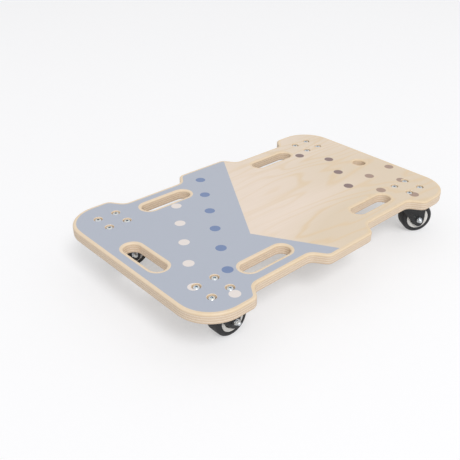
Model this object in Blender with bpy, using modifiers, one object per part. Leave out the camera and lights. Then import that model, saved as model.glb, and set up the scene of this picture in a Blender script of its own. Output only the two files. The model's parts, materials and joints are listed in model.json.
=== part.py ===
# Wooden scooter board: a shaped plywood deck that rolls on four swivel casters.
# Metres, +Z up. The origin is on the floor, under the middle of the deck.
# X runs along the deck, from the slot end (-X) to the rope end (+X), and +Y is its left side.

from math import asin, cos, pi, radians, sin, sqrt, tan

import bmesh
import bpy
from mathutils import Matrix, Vector

# Running gap between pieces that touch
GAP = 0.0003

# Deck
DECK_LENGTH = 0.610
DECK_WIDTH = 0.380
PLY_THICKNESS = 0.018
EDGE_ROUND = 0.003
CORNER_RADIUS = 0.061

# Waists: each side is drawn in beside its slots, with a sloping step at both ends
WAIST_DEPTH = 0.026
MIDDLE_LOBE_LENGTH = 0.125
CORNER_LOBE_LENGTH = 0.1035
STEP_SLOPE = radians(55)
STEP_RADIUS = 0.0145

# Hand slots: two down each side, centred in the waists, and one across the slot end
SIDE_SLOT_LENGTH = 0.098
SIDE_SLOT_WIDTH = 0.028
SIDE_SLOT_INSET = 0.038
END_SLOT_LENGTH = 0.094
END_SLOT_WIDTH = 0.028
END_SLOT_INSET = 0.0385

# Rope hole
ROPE_HOLE_DIAMETER = 0.025
ROPE_HOLE_INSET = 0.048

# Casters on the deck
CASTER_END_INSET = 0.065
CASTER_SIDE_INSET = 0.061

# Deck bolts and their lock nuts, four to a caster on a square
BOLT_PITCH = 0.034
BOLT_DIAMETER = 0.006
BOLT_HEAD_DIAMETER = 0.012
BOLT_HEAD_HEIGHT = 0.0033
BOLT_HEAD_CROWN = 0.0015
BOLT_SOCKET_WIDTH = 0.004
BOLT_SOCKET_DEPTH = 0.002
BOLT_HEAD_SUNK = 0.0008
BOLT_END = 0.001
COUNTERBORE_CLEARANCE = 0.0011
COUNTERBORE_EASING = 0.0006
NUT_ACROSS_FLATS = 0.010
NUT_HEIGHT = 0.006

# Caster plate with its riveted king pin
PLATE_THICKNESS = 0.0025
PLATE_MARGIN = 0.008
PLATE_CORNER_RADIUS = 0.006
KING_PIN_DIAMETER = 0.009
KING_PIN_HEAD_DIAMETER = 0.015
KING_PIN_HEAD_HEIGHT = 0.0025

# Swivel bearing
BEARING_HEIGHT = 0.0051
BEARING_GROOVE = 0.0008
BEARING_EDGE = 0.0006

# Fork
FORK_STEEL = 0.0025
FORK_BEND_RADIUS = 0.003
SEAT_LEAST_HEIGHT = 0.0015
SWIVEL_CLEARANCE = 0.0014
TRAIL = 0.025
LEG_EYE_RADIUS = 0.0125
LEG_FRONT_DEPTH = 0.006
LEG_FRONT_RADIUS = 0.004
LEG_BACK = 0.0125
LEG_SHOULDER_DROP = 0.0115
LEG_SHOULDER_RADIUS = 0.008

# Wheel
WHEEL_DIAMETER = 0.060
TYRE_WIDTH = 0.028
TYRE_THICKNESS = 0.0087
TYRE_SHOULDER = 0.005
RIM_THICKNESS = 0.0065
WEB_THICKNESS = 0.008
BOSS_DIAMETER = 0.016
BOSS_PROUD = 0.0005
WHEEL_SIDE_CLEARANCE = 0.0005
WHEEL_TOP_CLEARANCE = 0.002

# Axle bolt
AXLE_DIAMETER = 0.006
AXLE_ACROSS_FLATS = 0.010
AXLE_HEAD_HEIGHT = 0.004
AXLE_NUT_HEIGHT = 0.008
AXLE_END = 0.004

# How far each fork stands turned: its wheel trails towards this angle from +X
TURNED = {
    "slot_left": radians(-13.5),
    "slot_right": radians(0),
    "rope_left": radians(-22),
    "rope_right": radians(-31.5),
}

# Materials: colour, roughness and how metallic they are
MATERIALS = {
    "birch_plywood": ((0.78, 0.63, 0.45), 0.5, 0.0),
    "black_painted_steel": ((0.012, 0.012, 0.013), 0.4, 0.0),
    "zinc_plated_steel": ((0.62, 0.64, 0.66), 0.3, 1.0),
    "white_nylon": ((0.75, 0.74, 0.71), 0.45, 0.0),
    "black_rubber": ((0.02, 0.02, 0.021), 0.7, 0.0),
}

# Facets of the round pieces
TYRE_STEPS = 32
HUB_STEPS = 28
SEAT_STEPS = 24
PIN_STEPS = 14
BOLT_STEPS = 12
BORE_STEPS = 10
HEXAGON = 6

# Steps in the arcs of the outlines and edges
DECK_CORNER_STEPS = 7
WAIST_STEPS = 3
SLOT_END_STEPS = 8
ROPE_HOLE_STEPS = 16
PLATE_CORNER_STEPS = 4
LEG_EYE_STEPS = 8
LEG_CORNER_STEPS = 3
FORK_BEND_STEPS = 3
SHOULDER_STEPS = 2
EDGE_RESOLUTION = 1

# How far a cutter runs past what it cuts
OVERRUN = 0.002

# Points nearer than this are one point, and edges flatter or sharper than these are dissolved or kept
MERGE = 0.00001
FLAT_ANGLE = radians(1)
SHARP_ANGLE = radians(35)
ROUND_PROFILE = 0.5

# Plan of the deck, worked out from the sizes above
end_x = DECK_LENGTH / 2
side_y = DECK_WIDTH / 2
waist_y = side_y - WAIST_DEPTH
step_run = WAIST_DEPTH / tan(STEP_SLOPE)
inner_step_x = MIDDLE_LOBE_LENGTH / 2
outer_step_x = end_x - CORNER_LOBE_LENGTH
corner_radius = min(CORNER_RADIUS, CORNER_LOBE_LENGTH - step_run / 2 - STEP_RADIUS)
side_slot_x = (inner_step_x + outer_step_x) / 2
side_slot_y = waist_y - SIDE_SLOT_INSET
caster_x = end_x - CASTER_END_INSET
caster_y = side_y - CASTER_SIDE_INSET

# Wheel and fork, sideways from the middle of the wheel
wheel_radius = WHEEL_DIAMETER / 2
axle_radius = AXLE_DIAMETER / 2
rim_radius = wheel_radius - TYRE_THICKNESS
boss_half = TYRE_WIDTH / 2 + BOSS_PROUD
fork_inside = boss_half + WHEEL_SIDE_CLEARANCE
fork_outside = fork_inside + FORK_STEEL

# The bearing and its seat fill the circle inside the four nuts
nut_corner = NUT_ACROSS_FLATS / sqrt(3)
seat_radius = BOLT_PITCH / sqrt(2) - nut_corner - SWIVEL_CLEARANCE
king_pin_radius = KING_PIN_DIAMETER / 2
king_pin_head_radius = KING_PIN_HEAD_DIAMETER / 2


def wheel_top_at(reach):
    """Height of the wheel at a distance from its axle, measured along the fork."""
    beside = min(max(reach, 0), wheel_radius)
    return wheel_radius + sqrt(wheel_radius**2 - beside**2)


# Heights, from the floor up
axle_z = wheel_radius
under_head_z = wheel_top_at(TRAIL - king_pin_head_radius) + WHEEL_TOP_CLEARANCE
crown_bottom_z = max(WHEEL_DIAMETER + WHEEL_TOP_CLEARANCE, under_head_z + KING_PIN_HEAD_HEIGHT + GAP)
crown_top_z = crown_bottom_z + FORK_STEEL
nut_stack = GAP + NUT_HEIGHT + BOLT_END + SWIVEL_CLEARANCE
seat_height = max(SEAT_LEAST_HEIGHT, nut_stack - BEARING_HEIGHT - 2 * GAP)
seat_top_z = crown_top_z + seat_height
bearing_z = seat_top_z + GAP
plate_bottom_z = bearing_z + BEARING_HEIGHT + GAP
plate_top_z = plate_bottom_z + PLATE_THICKNESS
deck_bottom_z = plate_top_z + GAP
deck_top_z = deck_bottom_z + PLY_THICKNESS
king_pin_head_z = crown_bottom_z - GAP - KING_PIN_HEAD_HEIGHT
nut_top_z = plate_bottom_z - GAP
bolt_end_z = nut_top_z - NUT_HEIGHT - BOLT_END
bolt_head_top_z = deck_top_z - BOLT_HEAD_SUNK
bolt_head_bottom_z = bolt_head_top_z - BOLT_HEAD_HEIGHT
counterbore_floor_z = bolt_head_bottom_z - GAP
bolt_radius = BOLT_DIAMETER / 2
bolt_hole_radius = bolt_radius + GAP
counterbore_radius = BOLT_HEAD_DIAMETER / 2 + COUNTERBORE_CLEARANCE

parts = None
cutters = None


def clear_scene():
    for obj in list(bpy.data.objects):
        bpy.data.objects.remove(obj, do_unlink=True)


def new_collection(name):
    collection = bpy.data.collections.new(name)
    bpy.context.scene.collection.children.link(collection)
    return collection


def new_material(name, colour, roughness, metallic):
    material = bpy.data.materials.new(name)
    material.use_nodes = True
    material.diffuse_color = (*colour, 1.0)
    shader = material.node_tree.nodes["Principled BSDF"]
    shader.inputs["Base Color"].default_value = (*colour, 1.0)
    shader.inputs["Roughness"].default_value = roughness
    shader.inputs["Metallic"].default_value = metallic
    return material


def arc(centre, radius, start, end, steps):
    """Points along an arc, both ends among them."""
    turn = (end - start) / steps
    angles = [start + turn * i for i in range(steps + 1)]
    return [(centre[0] + radius * cos(a), centre[1] + radius * sin(a)) for a in angles]


def fillet(before, corner, after, radius, steps):
    """The corner of an outline, rounded by an arc that meets both of its sides."""
    corner = Vector(corner)
    back = (Vector(before) - corner).normalized()
    onward = (Vector(after) - corner).normalized()
    half = back.angle(onward) / 2
    centre = corner + (back + onward).normalized() * (radius / sin(half))
    first = corner + back * (radius / tan(half)) - centre
    sweep = pi - 2 * half
    if back.cross(onward) > 0:
        sweep = -sweep
    start = Vector((1, 0)).angle_signed(first) * -1
    return arc(centre, radius, start, start + sweep, steps)


def rounded_outline(corners):
    """A closed outline from corners given as x, y, radius and the steps of the radius."""
    points = []
    for i, (x, y, radius, steps) in enumerate(corners):
        if radius <= 0:
            points.append((x, y))
            continue
        before = corners[i - 1][:2]
        after = corners[(i + 1) % len(corners)][:2]
        points += fillet(before, (x, y), after, radius, steps)
    return points


def deck_outline():
    """The deck's plan, anticlockwise: one quarter of corners, turned over for the other three."""
    half_run = step_run / 2
    quarter = [
        (inner_step_x - half_run, side_y, STEP_RADIUS, WAIST_STEPS),
        (inner_step_x + half_run, waist_y, STEP_RADIUS, WAIST_STEPS),
        (outer_step_x - half_run, waist_y, STEP_RADIUS, WAIST_STEPS),
        (outer_step_x + half_run, side_y, STEP_RADIUS, WAIST_STEPS),
        (end_x, side_y, corner_radius, DECK_CORNER_STEPS),
    ]
    right_top = quarter[::-1]
    left_top = [(-x, y, radius, steps) for x, y, radius, steps in quarter]
    left_bottom = [(-x, -y, radius, steps) for x, y, radius, steps in right_top]
    right_bottom = [(x, -y, radius, steps) for x, y, radius, steps in quarter]
    return rounded_outline(right_top + left_top + left_bottom + right_bottom)


def slot_outline(x, y, length, width, along_x):
    """A slot with round ends."""
    reach = (length - width) / 2
    half_turn = pi / 2
    right = arc((reach, 0), width / 2, -half_turn, half_turn, SLOT_END_STEPS)
    left = arc((-reach, 0), width / 2, half_turn, 3 * half_turn, SLOT_END_STEPS)
    points = right + left
    if not along_x:
        points = [(-b, a) for a, b in points]
    return [(x + a, y + b) for a, b in points]


def circle_outline(x, y, radius, steps):
    return arc((x, y), radius, 0, 2 * pi, steps)[:-1]


def flat_mesh(name, outlines, thickness, edge_round=0.0):
    """A flat piece with its middle at z = 0, from one outline and the holes in it."""
    curve = bpy.data.curves.new(name, "CURVE")
    curve.dimensions = "2D"
    curve.fill_mode = "BOTH"
    for points in outlines:
        spline = curve.splines.new("POLY")
        spline.points.add(len(points) - 1)
        for point, (x, y) in zip(spline.points, points):
            point.co = (x, y, 0, 1)
        spline.use_cyclic_u = True
    curve.extrude = thickness / 2 - edge_round
    curve.bevel_depth = edge_round
    curve.bevel_resolution = EDGE_RESOLUTION
    curve.offset = -edge_round
    return welded_mesh(name, bpy.data.objects.new(name, curve))


def welded_mesh(name, curve_object):
    """The curve's surface as a mesh, with its loose caps joined on, and the curve removed."""
    parts.objects.link(curve_object)
    graph = bpy.context.evaluated_depsgraph_get()
    mesh = bpy.data.meshes.new_from_object(curve_object.evaluated_get(graph))
    mesh.name = name
    work = bmesh.new()
    work.from_mesh(mesh)
    bmesh.ops.remove_doubles(work, verts=work.verts, dist=MERGE)
    bmesh.ops.recalc_face_normals(work, faces=work.faces)
    work.to_mesh(mesh)
    work.free()
    bpy.data.objects.remove(curve_object, do_unlink=True)
    return mesh


def turned_object(name, profile, steps, collection, ring=False):
    """A piece turned about Z. Its profile of radius and height runs down the outer side."""
    edges = [(i, i + 1) for i in range(len(profile) - 1)]
    if ring:
        edges.append((len(profile) - 1, 0))
    mesh = bpy.data.meshes.new(name)
    mesh.from_pydata([(radius, 0, height) for radius, height in profile], edges, [])
    obj = bpy.data.objects.new(name, mesh)
    collection.objects.link(obj)
    screw = obj.modifiers.new("turned", "SCREW")
    screw.steps = steps
    screw.render_steps = steps
    screw.use_merge_vertices = True
    screw.merge_threshold = MERGE
    return obj


def prism_object(name, radius, bottom, top, sides, collection):
    """An upright prism or cylinder between two heights."""
    mesh = bpy.data.meshes.new(name)
    work = bmesh.new()
    bmesh.ops.create_cone(
        work, cap_ends=True, segments=sides, radius1=radius, radius2=radius, depth=top - bottom
    )
    bmesh.ops.translate(work, verts=work.verts, vec=(0, 0, (top + bottom) / 2))
    work.to_mesh(mesh)
    work.free()
    obj = bpy.data.objects.new(name, mesh)
    collection.objects.link(obj)
    return obj


def as_cutter(obj):
    obj.hide_render = True
    obj.display_type = "WIRE"
    return obj


def add_boolean(obj, operation, other):
    boolean = obj.modifiers.new(other.name, "BOOLEAN")
    boolean.operation = operation
    boolean.object = other


def baked_mesh(obj, helpers):
    """The object's finished mesh, for copies to share. The object and its helpers are removed."""
    graph = bpy.context.evaluated_depsgraph_get()
    mesh = bpy.data.meshes.new_from_object(obj.evaluated_get(graph))
    mesh.name = obj.name
    for used in [obj, *helpers]:
        bpy.data.objects.remove(used, do_unlink=True)
    return mesh


def shade_round(mesh):
    mesh.shade_smooth()
    mesh.set_sharp_from_angle(angle=SHARP_ANGLE)


def place(name, mesh, material, location=(0, 0, 0), rotation=(0, 0, 0), parent=None):
    """One finished part from a mesh that its copies may share."""
    obj = bpy.data.objects.new(name, mesh)
    parts.objects.link(obj)
    if not mesh.materials:
        mesh.materials.append(material)
    obj.location = location
    obj.rotation_euler = rotation
    obj.parent = parent
    return obj


def new_empty(name, location, rotation=(0, 0, 0), parent=None):
    empty = bpy.data.objects.new(name, None)
    parts.objects.link(empty)
    empty.location = location
    empty.rotation_euler = rotation
    empty.parent = parent
    return empty


def bolt_places():
    """Where the four bolts of a caster stand, from the caster's middle."""
    half = BOLT_PITCH / 2
    return [(-half, half), (half, half), (-half, -half), (half, -half)]


def bolt_hole_mesh():
    """What a deck bolt's counterbore and hole take out of the deck."""
    over = deck_top_z + OVERRUN
    profile = [
        (0, over),
        (counterbore_radius + COUNTERBORE_EASING, over),
        (counterbore_radius + COUNTERBORE_EASING, deck_top_z),
        (counterbore_radius, deck_top_z - COUNTERBORE_EASING),
        (counterbore_radius, counterbore_floor_z),
        (bolt_hole_radius, counterbore_floor_z),
        (bolt_hole_radius, deck_bottom_z - OVERRUN),
        (0, deck_bottom_z - OVERRUN),
    ]
    return baked_mesh(turned_object("bolt_hole", profile, BOLT_STEPS, cutters), [])


def make_deck(material, corners):
    side_slots = [
        slot_outline(x, y, SIDE_SLOT_LENGTH, SIDE_SLOT_WIDTH, True)
        for x in (-side_slot_x, side_slot_x)
        for y in (-side_slot_y, side_slot_y)
    ]
    end_slot = slot_outline(END_SLOT_INSET - end_x, 0, END_SLOT_LENGTH, END_SLOT_WIDTH, False)
    rope_hole_x = end_x - ROPE_HOLE_INSET
    rope_hole = circle_outline(rope_hole_x, 0, ROPE_HOLE_DIAMETER / 2, ROPE_HOLE_STEPS)
    outlines = [deck_outline(), *side_slots, end_slot, rope_hole]
    edge_round = min(EDGE_ROUND, PLY_THICKNESS / 2 - GAP)
    mesh = flat_mesh("deck", outlines, PLY_THICKNESS, edge_round)
    shade_round(mesh)
    middle_z = (deck_top_z + deck_bottom_z) / 2
    deck = place("deck", mesh, material, (0, 0, middle_z))
    holes = bpy.data.collections.new("bolt_hole_cutters")
    cutters.children.link(holes)
    hole_mesh = bolt_hole_mesh()
    for x, y in corners.values():
        for dx, dy in bolt_places():
            hole = bpy.data.objects.new("bolt_hole_cutter", hole_mesh)
            holes.objects.link(as_cutter(hole))
            hole.location = (x + dx, y + dy, 0)
    drilled = deck.modifiers.new("bolt_holes", "BOOLEAN")
    drilled.operand_type = "COLLECTION"
    drilled.collection = holes
    shading = deck.modifiers.new("flat_faces_first", "WEIGHTED_NORMAL")
    shading.keep_sharp = True


def deck_bolt_mesh():
    """Button-headed bolt with a hexagon socket, at its height in the deck."""
    radius = BOLT_HEAD_DIAMETER / 2
    profile = [
        (0, bolt_head_top_z),
        (radius - BOLT_HEAD_CROWN, bolt_head_top_z),
        (radius, bolt_head_top_z - BOLT_HEAD_CROWN),
        (radius, bolt_head_bottom_z),
        (bolt_radius, bolt_head_bottom_z),
        (bolt_radius, bolt_end_z),
        (0, bolt_end_z),
    ]
    bolt = turned_object("deck_bolt", profile, BOLT_STEPS, parts)
    socket_floor_z = bolt_head_top_z - BOLT_SOCKET_DEPTH
    socket_radius = BOLT_SOCKET_WIDTH / sqrt(3)
    over = bolt_head_top_z + OVERRUN
    socket = prism_object("socket", socket_radius, socket_floor_z, over, HEXAGON, cutters)
    add_boolean(bolt, "DIFFERENCE", as_cutter(socket))
    return baked_mesh(bolt, [socket])


def deck_nut_mesh():
    bottom = nut_top_z - NUT_HEIGHT
    nut = prism_object("deck_nut", nut_corner, bottom, nut_top_z, HEXAGON, parts)
    low, high = bottom - OVERRUN, nut_top_z + OVERRUN
    bore = prism_object("nut_bore", bolt_hole_radius, low, high, BORE_STEPS, cutters)
    add_boolean(nut, "DIFFERENCE", as_cutter(bore))
    return baked_mesh(nut, [bore])


def caster_plate_mesh():
    """Square plate with four bolt holes and, riveted into it, the king pin that holds the fork up."""
    half = BOLT_PITCH / 2 + PLATE_MARGIN
    square = [(half, half), (-half, half), (-half, -half), (half, -half)]
    outline = rounded_outline([(x, y, PLATE_CORNER_RADIUS, PLATE_CORNER_STEPS) for x, y in square])
    holes = [circle_outline(x, y, bolt_hole_radius, BORE_STEPS) for x, y in bolt_places()]
    middle_z = (plate_top_z + plate_bottom_z) / 2
    mesh = flat_mesh("caster_plate", [outline, *holes], PLATE_THICKNESS)
    mesh.transform(Matrix.Translation((0, 0, middle_z)))
    plate = bpy.data.objects.new("caster_plate", mesh)
    parts.objects.link(plate)
    profile = [
        (0, middle_z),
        (king_pin_radius, middle_z),
        (king_pin_radius, king_pin_head_z + KING_PIN_HEAD_HEIGHT),
        (king_pin_head_radius, king_pin_head_z + KING_PIN_HEAD_HEIGHT),
        (king_pin_head_radius, king_pin_head_z + KING_PIN_HEAD_HEIGHT / 2),
        (king_pin_radius, king_pin_head_z),
        (0, king_pin_head_z),
    ]
    king_pin = as_cutter(turned_object("king_pin", profile, PIN_STEPS, cutters))
    add_boolean(plate, "UNION", king_pin)
    return baked_mesh(plate, [king_pin])


def swivel_bearing_mesh():
    """Ball race: two pressed rings round one row of balls, as one ring with the groove between them."""
    top = bearing_z + BEARING_HEIGHT
    middle = bearing_z + BEARING_HEIGHT / 2
    bore = king_pin_radius + GAP
    profile = [
        (seat_radius - BEARING_EDGE, top),
        (seat_radius, top - BEARING_EDGE),
        (seat_radius, middle + BEARING_GROOVE),
        (seat_radius - BEARING_GROOVE, middle),
        (seat_radius, middle - BEARING_GROOVE),
        (seat_radius, bearing_z + BEARING_EDGE),
        (seat_radius - BEARING_EDGE, bearing_z),
        (bore, bearing_z),
        (bore, top),
    ]
    return baked_mesh(turned_object("swivel_bearing", profile, SEAT_STEPS, parts, ring=True), [])


def tangent_point(point, centre, radius, side):
    """Where a line from the point touches the circle, on the side given by 1 or -1."""
    reach = Vector(centre) - Vector(point)
    length = sqrt(reach.length_squared - radius**2)
    turn = side * asin(radius / reach.length)
    x = reach.x * cos(turn) - reach.y * sin(turn)
    y = reach.x * sin(turn) + reach.y * cos(turn)
    return Vector(point) + Vector((x, y)).normalized() * length


def leg_outline():
    """Side view of a fork leg, as x and z, from the crown's front round the axle eye and back up."""
    eye = (TRAIL, axle_z)
    crown_front = (-seat_radius, crown_top_z)
    front = (-seat_radius, crown_top_z - LEG_FRONT_DEPTH)
    shoulder = (TRAIL + LEG_BACK, crown_top_z - LEG_SHOULDER_DROP)
    crown_back = (seat_radius, crown_top_z)
    low_front = tangent_point(front, eye, LEG_EYE_RADIUS, -1)
    low_back = tangent_point(shoulder, eye, LEG_EYE_RADIUS, 1)
    start = (low_front - Vector(eye)).angle_signed(Vector((1, 0)))
    end = (low_back - Vector(eye)).angle_signed(Vector((1, 0)))
    if end < start:
        end += 2 * pi
    front_arc = fillet(crown_front, front, low_front, LEG_FRONT_RADIUS, LEG_CORNER_STEPS)
    eye_arc = arc(eye, LEG_EYE_RADIUS, start, end, LEG_EYE_STEPS)
    back_arc = fillet(low_back, shoulder, crown_back, LEG_SHOULDER_RADIUS, LEG_CORNER_STEPS)
    return [crown_front, *front_arc, *eye_arc, *back_arc, crown_back]


def fork_mesh():
    """Pressed steel fork: a crown with a raised bearing seat, and two legs down to the axle."""
    upright = Matrix.Rotation(pi / 2, 4, "X")
    mesh = flat_mesh("fork", [leg_outline()], 2 * fork_outside)
    mesh.transform(upright)
    work = bmesh.new()
    work.from_mesh(mesh)
    bmesh.ops.dissolve_limit(work, angle_limit=FLAT_ANGLE, verts=work.verts, edges=work.edges)
    bends = [
        edge
        for edge in work.edges
        if all(abs(v.co.z - crown_top_z) < MERGE for v in edge.verts)
        and abs(edge.verts[0].co.y - edge.verts[1].co.y) < MERGE
    ]
    bmesh.ops.bevel(
        work,
        geom=bends,
        offset=FORK_BEND_RADIUS,
        segments=FORK_BEND_STEPS,
        profile=ROUND_PROFILE,
        affect="EDGES",
    )
    work.to_mesh(mesh)
    work.free()
    fork = bpy.data.objects.new("fork", mesh)
    parts.objects.link(fork)

    seat_profile = [
        (0, seat_top_z),
        (seat_radius - BEARING_EDGE, seat_top_z),
        (seat_radius, seat_top_z - BEARING_EDGE),
        (seat_radius, crown_bottom_z + FORK_STEEL / 2),
        (0, crown_bottom_z + FORK_STEEL / 2),
    ]
    seat = as_cutter(turned_object("seat", seat_profile, SEAT_STEPS, cutters))

    reach = wheel_radius + TRAIL + OVERRUN
    high = seat_top_z + OVERRUN
    room_outline = [
        (-reach, -OVERRUN),
        (reach, -OVERRUN),
        (reach, high),
        (seat_radius, high),
        (seat_radius, crown_bottom_z),
        (-reach, crown_bottom_z),
    ]
    room_mesh = flat_mesh("wheel_room", [room_outline], 2 * fork_inside)
    room_mesh.transform(upright)
    room = as_cutter(bpy.data.objects.new("wheel_room", room_mesh))
    cutters.objects.link(room)

    pin_bore = prism_object(
        "pin_bore", king_pin_radius + GAP, crown_bottom_z - OVERRUN, high, PIN_STEPS, cutters
    )
    past = fork_outside + OVERRUN
    axle_bore = prism_object("axle_bore", axle_radius + GAP, -past, past, PIN_STEPS, cutters)
    axle_bore.rotation_euler = (pi / 2, 0, 0)
    axle_bore.location = (TRAIL, 0, axle_z)

    add_boolean(fork, "UNION", seat)
    for cutter in (room, pin_bore, axle_bore):
        add_boolean(fork, "DIFFERENCE", as_cutter(cutter))
    return baked_mesh(fork, [seat, room, pin_bore, axle_bore])


def axle_bolt_mesh():
    """Hexagon bolt with its lock nut run up, along Z: the head is at the bottom and the nut on top."""
    head_top = -fork_outside - GAP
    head_bottom = head_top - AXLE_HEAD_HEIGHT
    nut_bottom = fork_outside + GAP
    nut_top = nut_bottom + AXLE_NUT_HEIGHT
    corner = AXLE_ACROSS_FLATS / sqrt(3)
    end = nut_top + AXLE_END
    middle = (head_top + head_bottom) / 2
    shank = prism_object("axle_bolt", axle_radius, middle, end, PIN_STEPS, parts)
    head = as_cutter(prism_object("head", corner, head_bottom, head_top, HEXAGON, cutters))
    nut = as_cutter(prism_object("nut", corner, nut_bottom, nut_top, HEXAGON, cutters))
    add_boolean(shank, "UNION", head)
    add_boolean(shank, "UNION", nut)
    return baked_mesh(shank, [head, nut])


def wheel_hub_mesh():
    """Moulded hub, turned about its axle: a rim, a thinner web and a boss that runs on the axle."""
    rim_half = TYRE_WIDTH / 2 - GAP
    web_half = WEB_THICKNESS / 2
    rim_inside = rim_radius - RIM_THICKNESS
    boss_radius = BOSS_DIAMETER / 2
    bore = axle_radius + GAP
    side = [
        (rim_radius, rim_half),
        (rim_radius, -rim_half),
        (rim_inside, -rim_half),
        (rim_inside, -web_half),
        (boss_radius, -web_half),
        (boss_radius, -boss_half),
        (bore, -boss_half),
        (bore, boss_half),
        (boss_radius, boss_half),
        (boss_radius, web_half),
        (rim_inside, web_half),
        (rim_inside, rim_half),
    ]
    return baked_mesh(turned_object("wheel_hub", side, HUB_STEPS, parts, ring=True), [])


def tyre_mesh():
    """Rubber tyre with rounded shoulders, turned about its axle."""
    half = TYRE_WIDTH / 2
    inside = rim_radius + GAP
    shoulder_centre = (wheel_radius - TYRE_SHOULDER, half - TYRE_SHOULDER)
    top_shoulder = arc(shoulder_centre, TYRE_SHOULDER, pi / 2, 0, SHOULDER_STEPS)
    low_shoulder = [(radius, -height) for radius, height in reversed(top_shoulder)]
    profile = [(inside, half), *top_shoulder, *low_shoulder, (inside, -half)]
    return baked_mesh(turned_object("tyre", profile, TYRE_STEPS, parts, ring=True), [])


def make_caster(corner, x, y, meshes, materials):
    """One caster: what is bolted to the deck, what swivels under it, and the wheel in the fork."""
    zinc = materials["zinc_plated_steel"]
    mount = new_empty("mount_" + corner, (x, y, 0))
    place("caster_plate_" + corner, meshes["caster_plate"], zinc, parent=mount)
    place("swivel_bearing_" + corner, meshes["swivel_bearing"], zinc, parent=mount)
    for number, (dx, dy) in enumerate(bolt_places(), 1):
        tag = f"{corner}_{number}"
        place("deck_bolt_" + tag, meshes["deck_bolt"], zinc, (dx, dy, 0), parent=mount)
        place("deck_nut_" + tag, meshes["deck_nut"], zinc, (dx, dy, 0), parent=mount)
    swivel = new_empty("swivel_" + corner, (x, y, 0), (0, 0, TURNED[corner]))
    place("fork_" + corner, meshes["fork"], materials["black_painted_steel"], parent=swivel)
    axle = new_empty("axle_" + corner, (TRAIL, 0, axle_z), (pi / 2, 0, 0), swivel)
    place("axle_bolt_" + corner, meshes["axle_bolt"], zinc, parent=axle)
    place("wheel_hub_" + corner, meshes["wheel_hub"], materials["white_nylon"], parent=axle)
    place("tyre_" + corner, meshes["tyre"], materials["black_rubber"], parent=axle)


def main():
    global parts, cutters
    clear_scene()
    parts = new_collection("scooter_board")
    cutters = new_collection("cutters")
    materials = {name: new_material(name, *look) for name, look in MATERIALS.items()}
    corners = {
        "slot_left": (-caster_x, caster_y),
        "slot_right": (-caster_x, -caster_y),
        "rope_left": (caster_x, caster_y),
        "rope_right": (caster_x, -caster_y),
    }
    make_deck(materials["birch_plywood"], corners)
    meshes = {
        "caster_plate": caster_plate_mesh(),
        "swivel_bearing": swivel_bearing_mesh(),
        "deck_bolt": deck_bolt_mesh(),
        "deck_nut": deck_nut_mesh(),
        "fork": fork_mesh(),
        "axle_bolt": axle_bolt_mesh(),
        "wheel_hub": wheel_hub_mesh(),
        "tyre": tyre_mesh(),
    }
    for mesh in meshes.values():
        shade_round(mesh)
    for corner, (x, y) in corners.items():
        make_caster(corner, x, y, meshes, materials)


main()
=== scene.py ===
"""Wooden scooter board: a plywood deck, painted at one end, that rolls on four swivel casters.

Metres, +Z up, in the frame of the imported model. X runs from the slot end (-X) to the rope end (+X), and +Y is
the deck's left side. Each caster is named for its end and side.
"""

import json
from contextlib import contextmanager
from math import asin, atan2, copysign, cos, pi, radians, sin, sqrt, tan

import bmesh
import bpy
from bpy.props import FloatProperty, FloatVectorProperty, IntProperty, PointerProperty
from mathutils import Matrix, Vector
from mathutils.geometry import intersect_line_line


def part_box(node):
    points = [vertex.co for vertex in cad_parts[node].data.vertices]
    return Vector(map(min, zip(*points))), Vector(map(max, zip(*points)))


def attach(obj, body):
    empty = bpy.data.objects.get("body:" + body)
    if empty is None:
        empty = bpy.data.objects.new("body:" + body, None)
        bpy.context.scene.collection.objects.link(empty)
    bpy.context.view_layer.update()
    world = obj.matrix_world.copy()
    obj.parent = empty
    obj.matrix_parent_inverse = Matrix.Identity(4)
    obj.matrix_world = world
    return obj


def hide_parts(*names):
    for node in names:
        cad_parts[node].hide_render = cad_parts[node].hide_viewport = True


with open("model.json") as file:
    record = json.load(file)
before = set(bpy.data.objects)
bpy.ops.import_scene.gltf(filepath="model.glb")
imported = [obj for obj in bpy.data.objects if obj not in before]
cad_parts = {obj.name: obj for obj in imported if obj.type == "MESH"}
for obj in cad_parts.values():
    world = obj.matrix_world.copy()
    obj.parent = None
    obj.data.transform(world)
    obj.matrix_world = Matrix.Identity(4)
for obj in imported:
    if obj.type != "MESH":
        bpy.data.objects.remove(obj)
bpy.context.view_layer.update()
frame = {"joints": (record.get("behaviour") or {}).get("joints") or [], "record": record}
deck_low, deck_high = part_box("deck")

bl_info = {
    "name": "Wooden scooter board",
    "version": (1, 0, 0),
    "blender": (4, 5, 0),
    "location": "View3D > Sidebar > Scooter board",
    "description": "Models a plywood scooter board on four swivel casters, with a plain stage",
    "category": "Add Mesh",
}

CORNERS = ("slot_left", "slot_right", "rope_left", "rope_right")
BOLT_PLACES = [f"{corner}_{number}" for corner in CORNERS for number in (1, 2, 3, 4)]

# The caster that stands square to the deck, whose boxes give the sizes of all four
SQUARE = "slot_right"

# Points nearer than this are one point, and arcs take a step for each of these turns
MERGE = 0.000001
ARC_STEP = radians(6)
SHARP_ANGLE = radians(38)

# How far a cutter runs past what it cuts, and the gap between pieces that touch
OVERRUN = 0.002
GAP = 0.0003

# Sides of a nut, a bolt head or a socket, and steps round a turned piece or a bore
HEXAGON = 6
HOLE_STEPS = 32
BOLT_STEPS = 40
BORE_STEPS = 48
RACE_STEPS = 64
HUB_STEPS = 72
TYRE_STEPS = 96

# Pitch of every thread, and slope of the chamfer on nuts and bolt heads
THREAD_PITCH = 0.001
NUT_CHAMFER = radians(30)

# A Mix node takes its share at 0 and its colours at 6 and 7, and gives the mixed colour at this output
MIXED_COLOUR = 2

# Roughness of the lacquer, and how strongly the grain is felt through it
FACE_DULLNESS = 0.42
EDGE_DULLNESS = 0.60
BARE_RELIEF = 0.25
PRINT_RELIEF = 0.12

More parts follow.
